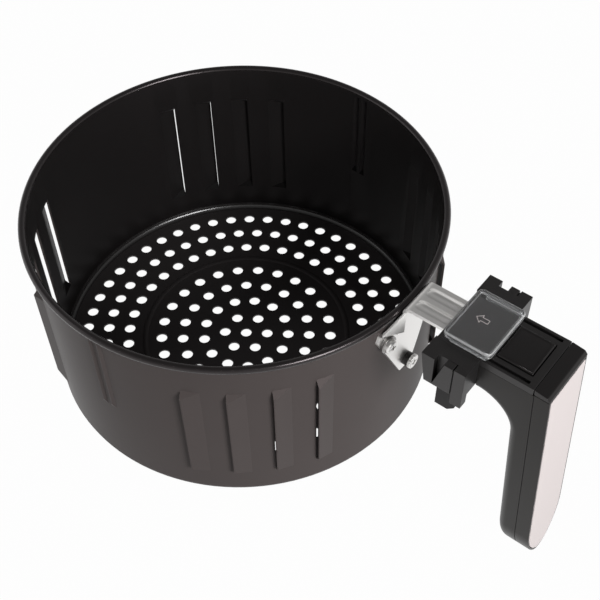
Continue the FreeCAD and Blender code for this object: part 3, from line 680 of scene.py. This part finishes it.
def makeWingPanels(size):
    # the raised panel beside the pocket of each wing
    bm = bmesh.new()
    for side in (-1, 1):
        points = [(x, side * size["inner"], z) for x, z in size["outline"]]
        platePiece(bm, points, (0, side * (size["outer"] - size["inner"]), 0))
    softEdges(finishPiece(bm, "wing_panels", "black_plastic", "basket"), size["edge"])


def makeGussets(size):
    # the plate's web between the neck and each upper corner of the shield
    bm = bmesh.new()
    for side in (-1, 1):
        a, b, c = (Vector((x, side * y, z)) for x, y, z in size["corners"])
        normal = (b - a).cross(c - a).normalized()
        inward = normal if normal.x < 0 else -normal
        platePiece(bm, (a, b, c), inward * size["thickness"])
    piece = finishPiece(bm, "bracket_gussets", "bright_steel", "basket")
    # the gussets take the pale non-metal copy of the steel: painted light
    piece.data.materials[0] = materials["gusset_steel_painted_light"]
    softEdges(piece, size["edge"])


def boxBetween(bm, low, high):
    middle = (Vector(low) + Vector(high)) / 2
    span = Vector(high) - Vector(low)
    place = Matrix.Translation(middle * mm) @ Matrix.Diagonal((*(span * mm), 1))
    bmesh.ops.create_cube(bm, size=1.0, matrix=place)


def makeGuard(size):
    # clear guard: a rounded lid with an open underside, side skirts and its two rails
    bm = bmesh.new()
    points = roundedBox(size["x0"], size["x1"], size["half"], size["corner"], size["lip"])
    lid = bm.faces.new([bm.verts.new(Vector(p) * mm) for p in points])
    top = movedVerts(bmesh.ops.extrude_face_region(bm, geom=[lid]))
    bmesh.ops.translate(bm, verts=top, vec=(0, 0, (size["top"] - size["lip"]) * mm))
    low, high = (size["lip"] + size["slack"]) * mm, (size["top"] - size["slack"]) * mm
    underside = [f for f in bm.faces if f.calc_center_median().z < low]
    bmesh.ops.delete(bm, geom=underside, context="FACES_ONLY")
    bmesh.ops.recalc_face_normals(bm, faces=bm.faces)
    rimEdges = [e for e in bm.edges if min(v.co.z for v in e.verts) > high]
    bmesh.ops.bevel(
        bm, geom=rimEdges, offset=size["edge"] * mm, segments=size["edgeSteps"], **roundBevel)
    bmesh.ops.solidify(bm, geom=bm.faces[:], thickness=size["wall"] * mm)
    skirtMiddle = size["half"] - size["wall"] / 2
    bars = ((skirtMiddle, size["wall"], size["skirt"], size["lip"]),
            (size["railMiddle"], size["railNeck"], size["footTop"], size["skirt"]),
            (size["railMiddle"], size["railFoot"], size["sole"], size["footTop"]))
    for side in (-1, 1):
        for middle, width, foot, head in bars:
            y0, y1 = side * middle - width / 2, side * middle + width / 2
            boxBetween(bm, (size["railStart"], y0, foot), (size["railEnd"], y1, head))
    piece = placePiece(
        bm, "guard_shell", "clear_plastic", "guard", ["clear_cover"], size["smoothAngle"])
    # the rounded top edges take the hazier copy: painted highlight
    piece.data.materials.append(materials["clear_edge_painted_highlight"])
    least, most = size["edgeRises"]
    for face in piece.data.polygons:
        if least < face.normal.z < most and face.center.z > (size["top"] - size["edge"]) * mm:
            face.material_index = 1


makeWingPanels(wingPanel)
makeGussets(bracketGusset)
makeGuard(guardShell)
print("wing panels, gussets and guard made")


# studio

studio = {
    "floorHeight": -27.0, "floorSize": 60000.0, "floorColour": (0.08, 0.08, 0.08),
    "white": 0.985, "glow": 1.0, "worldColour": (1.0, 0.995, 0.99),
    "horizonLight": 0.76, "overheadLight": 0.17, "fadeTop": 0.9}


def makeFloorPlane(size):
    bm = bmesh.new()
    bmesh.ops.create_grid(bm, x_segments=1, y_segments=1, size=size["floorSize"] / 2 * mm)
    bmesh.ops.translate(bm, verts=bm.verts, vec=(0, 0, size["floorHeight"] * mm))
    mesh = bpy.data.meshes.new("studio_floor")
    bm.to_mesh(mesh)
    bm.free()
    plane = bpy.data.objects.new("studio_floor", mesh)
    bpy.context.scene.collection.objects.link(plane)
    material = bpy.data.materials.new("studio_white")
    material.use_nodes = True
    tree = material.node_tree
    tree.nodes.clear()
    link = tree.links.new
    out = addNode(tree, "ShaderNodeOutputMaterial")
    matt = addNode(tree, "ShaderNodeBsdfDiffuse")
    matt.inputs["Color"].default_value = (*size["floorColour"], 1)
    glow = addNode(tree, "ShaderNodeEmission")
    glow.inputs["Strength"].default_value = size["glow"]
    rays = addNode(tree, "ShaderNodeLightPath")
    seen = addNode(tree, "ShaderNodeMath", operation="MAXIMUM")
    seenToo = addNode(tree, "ShaderNodeMath", operation="MAXIMUM")
    share = addNode(tree, "ShaderNodeMath", operation="MULTIPLY")
    share.inputs[1].default_value = size["white"]
    mix = addNode(tree, "ShaderNodeMixShader")
    link(rays.outputs["Is Camera Ray"], seen.inputs[0])
    link(rays.outputs["Is Glossy Ray"], seen.inputs[1])
    link(seen.outputs[0], seenToo.inputs[0])
    link(rays.outputs["Is Transmission Ray"], seenToo.inputs[1])
    link(seenToo.outputs[0], share.inputs[0])
    link(share.outputs[0], mix.inputs["Fac"])
    link(matt.outputs[0], mix.inputs[1])
    link(glow.outputs[0], mix.inputs[2])
    link(mix.outputs[0], out.inputs["Surface"])
    mesh.materials.append(material)


def makeWorld(size):
    world = bpy.data.worlds.new("studio_world")
    bpy.context.scene.world = world
    world.use_nodes = True
    tree = world.node_tree
    back = tree.nodes["Background"]
    back.inputs["Color"].default_value = (*size["worldColour"], 1)
    place = addNode(tree, "ShaderNodeTexCoord")
    split = addNode(tree, "ShaderNodeSeparateXYZ")
    fade = addNode(tree, "ShaderNodeMapRange")
    fade.inputs["From Max"].default_value = size["fadeTop"]
    fade.inputs["To Min"].default_value = size["horizonLight"]
    fade.inputs["To Max"].default_value = size["overheadLight"]
    tree.links.new(place.outputs["Object"], split.inputs[0])
    tree.links.new(split.outputs["Z"], fade.inputs["Value"])
    rays = addNode(tree, "ShaderNodeLightPath")
    seen = addNode(tree, "ShaderNodeMath", operation="MAXIMUM")
    tree.links.new(fade.outputs["Result"], seen.inputs[0])
    tree.links.new(rays.outputs["Is Camera Ray"], seen.inputs[1])
    tree.links.new(seen.outputs[0], back.inputs["Strength"])


# places and sizes in metres, power in watts
lampAim = (0.03, 0, 0.05)
lamps = {
    "left": {"place": (-0.85, -0.60, 0.40), "size": 0.9, "power": 1.4},
    "main": {"place": (1.02, -0.30, 0.66), "size": 0.5, "power": 12.4}}


def makeLamp(name, lamp):
    data = bpy.data.lights.new(name, "AREA")
    data.shape = "DISK"
    data.size = lamp["size"]
    data.energy = lamp["power"]
    obj = bpy.data.objects.new(name, data)
    bpy.context.scene.collection.objects.link(obj)
    obj.location = lamp["place"]
    aim = Vector(lampAim) - Vector(lamp["place"])
    obj.rotation_euler = aim.to_track_quat("-Z", "Y").to_euler()


makeFloorPlane(studio)
makeWorld(studio)
for name, lamp in lamps.items():
    makeLamp(name, lamp)
print("studio made")


camera = {
    "azimuth": 38.0, "elevation": 52.809, "roll": -0.582,
    "distance": 568.73, "right": 33.03, "up": -17.12, "lift": 1.0,
    "lens": 63.415, "sensor": 36.0, "shiftX": -0.01268, "shiftY": 0.1066, "nearest": 0.01}


def makeCamera(view):
    a = radians(view["azimuth"])
    e = radians(view["elevation"])
    r = radians(view["roll"])
    back = Vector((sin(a) * cos(e), -cos(a) * cos(e), sin(e)))
    side = Vector((cos(a), sin(a), 0))
    top = back.cross(side)
    right = cos(r) * side + sin(r) * top
    up = cos(r) * top - sin(r) * side
    place = (back * view["distance"] + right * view["right"] + up * view["up"]
             + Vector((0, 0, view["lift"])))
    data = bpy.data.cameras.new("photo_camera")
    data.lens = view["lens"]
    data.sensor_width = view["sensor"]
    data.sensor_fit = "HORIZONTAL"
    data.shift_x = view["shiftX"]
    data.shift_y = view["shiftY"]
    data.clip_start = view["nearest"]
    obj = bpy.data.objects.new("photo_camera", data)
    bpy.context.scene.collection.objects.link(obj)
    turn = Matrix((right, up, back)).transposed().to_4x4()
    obj.matrix_world = Matrix.Translation(place * mm) @ turn
    bpy.context.scene.camera = obj


makeCamera(camera)
bpy.context.scene.view_settings.view_transform = "Standard"
print("camera set")
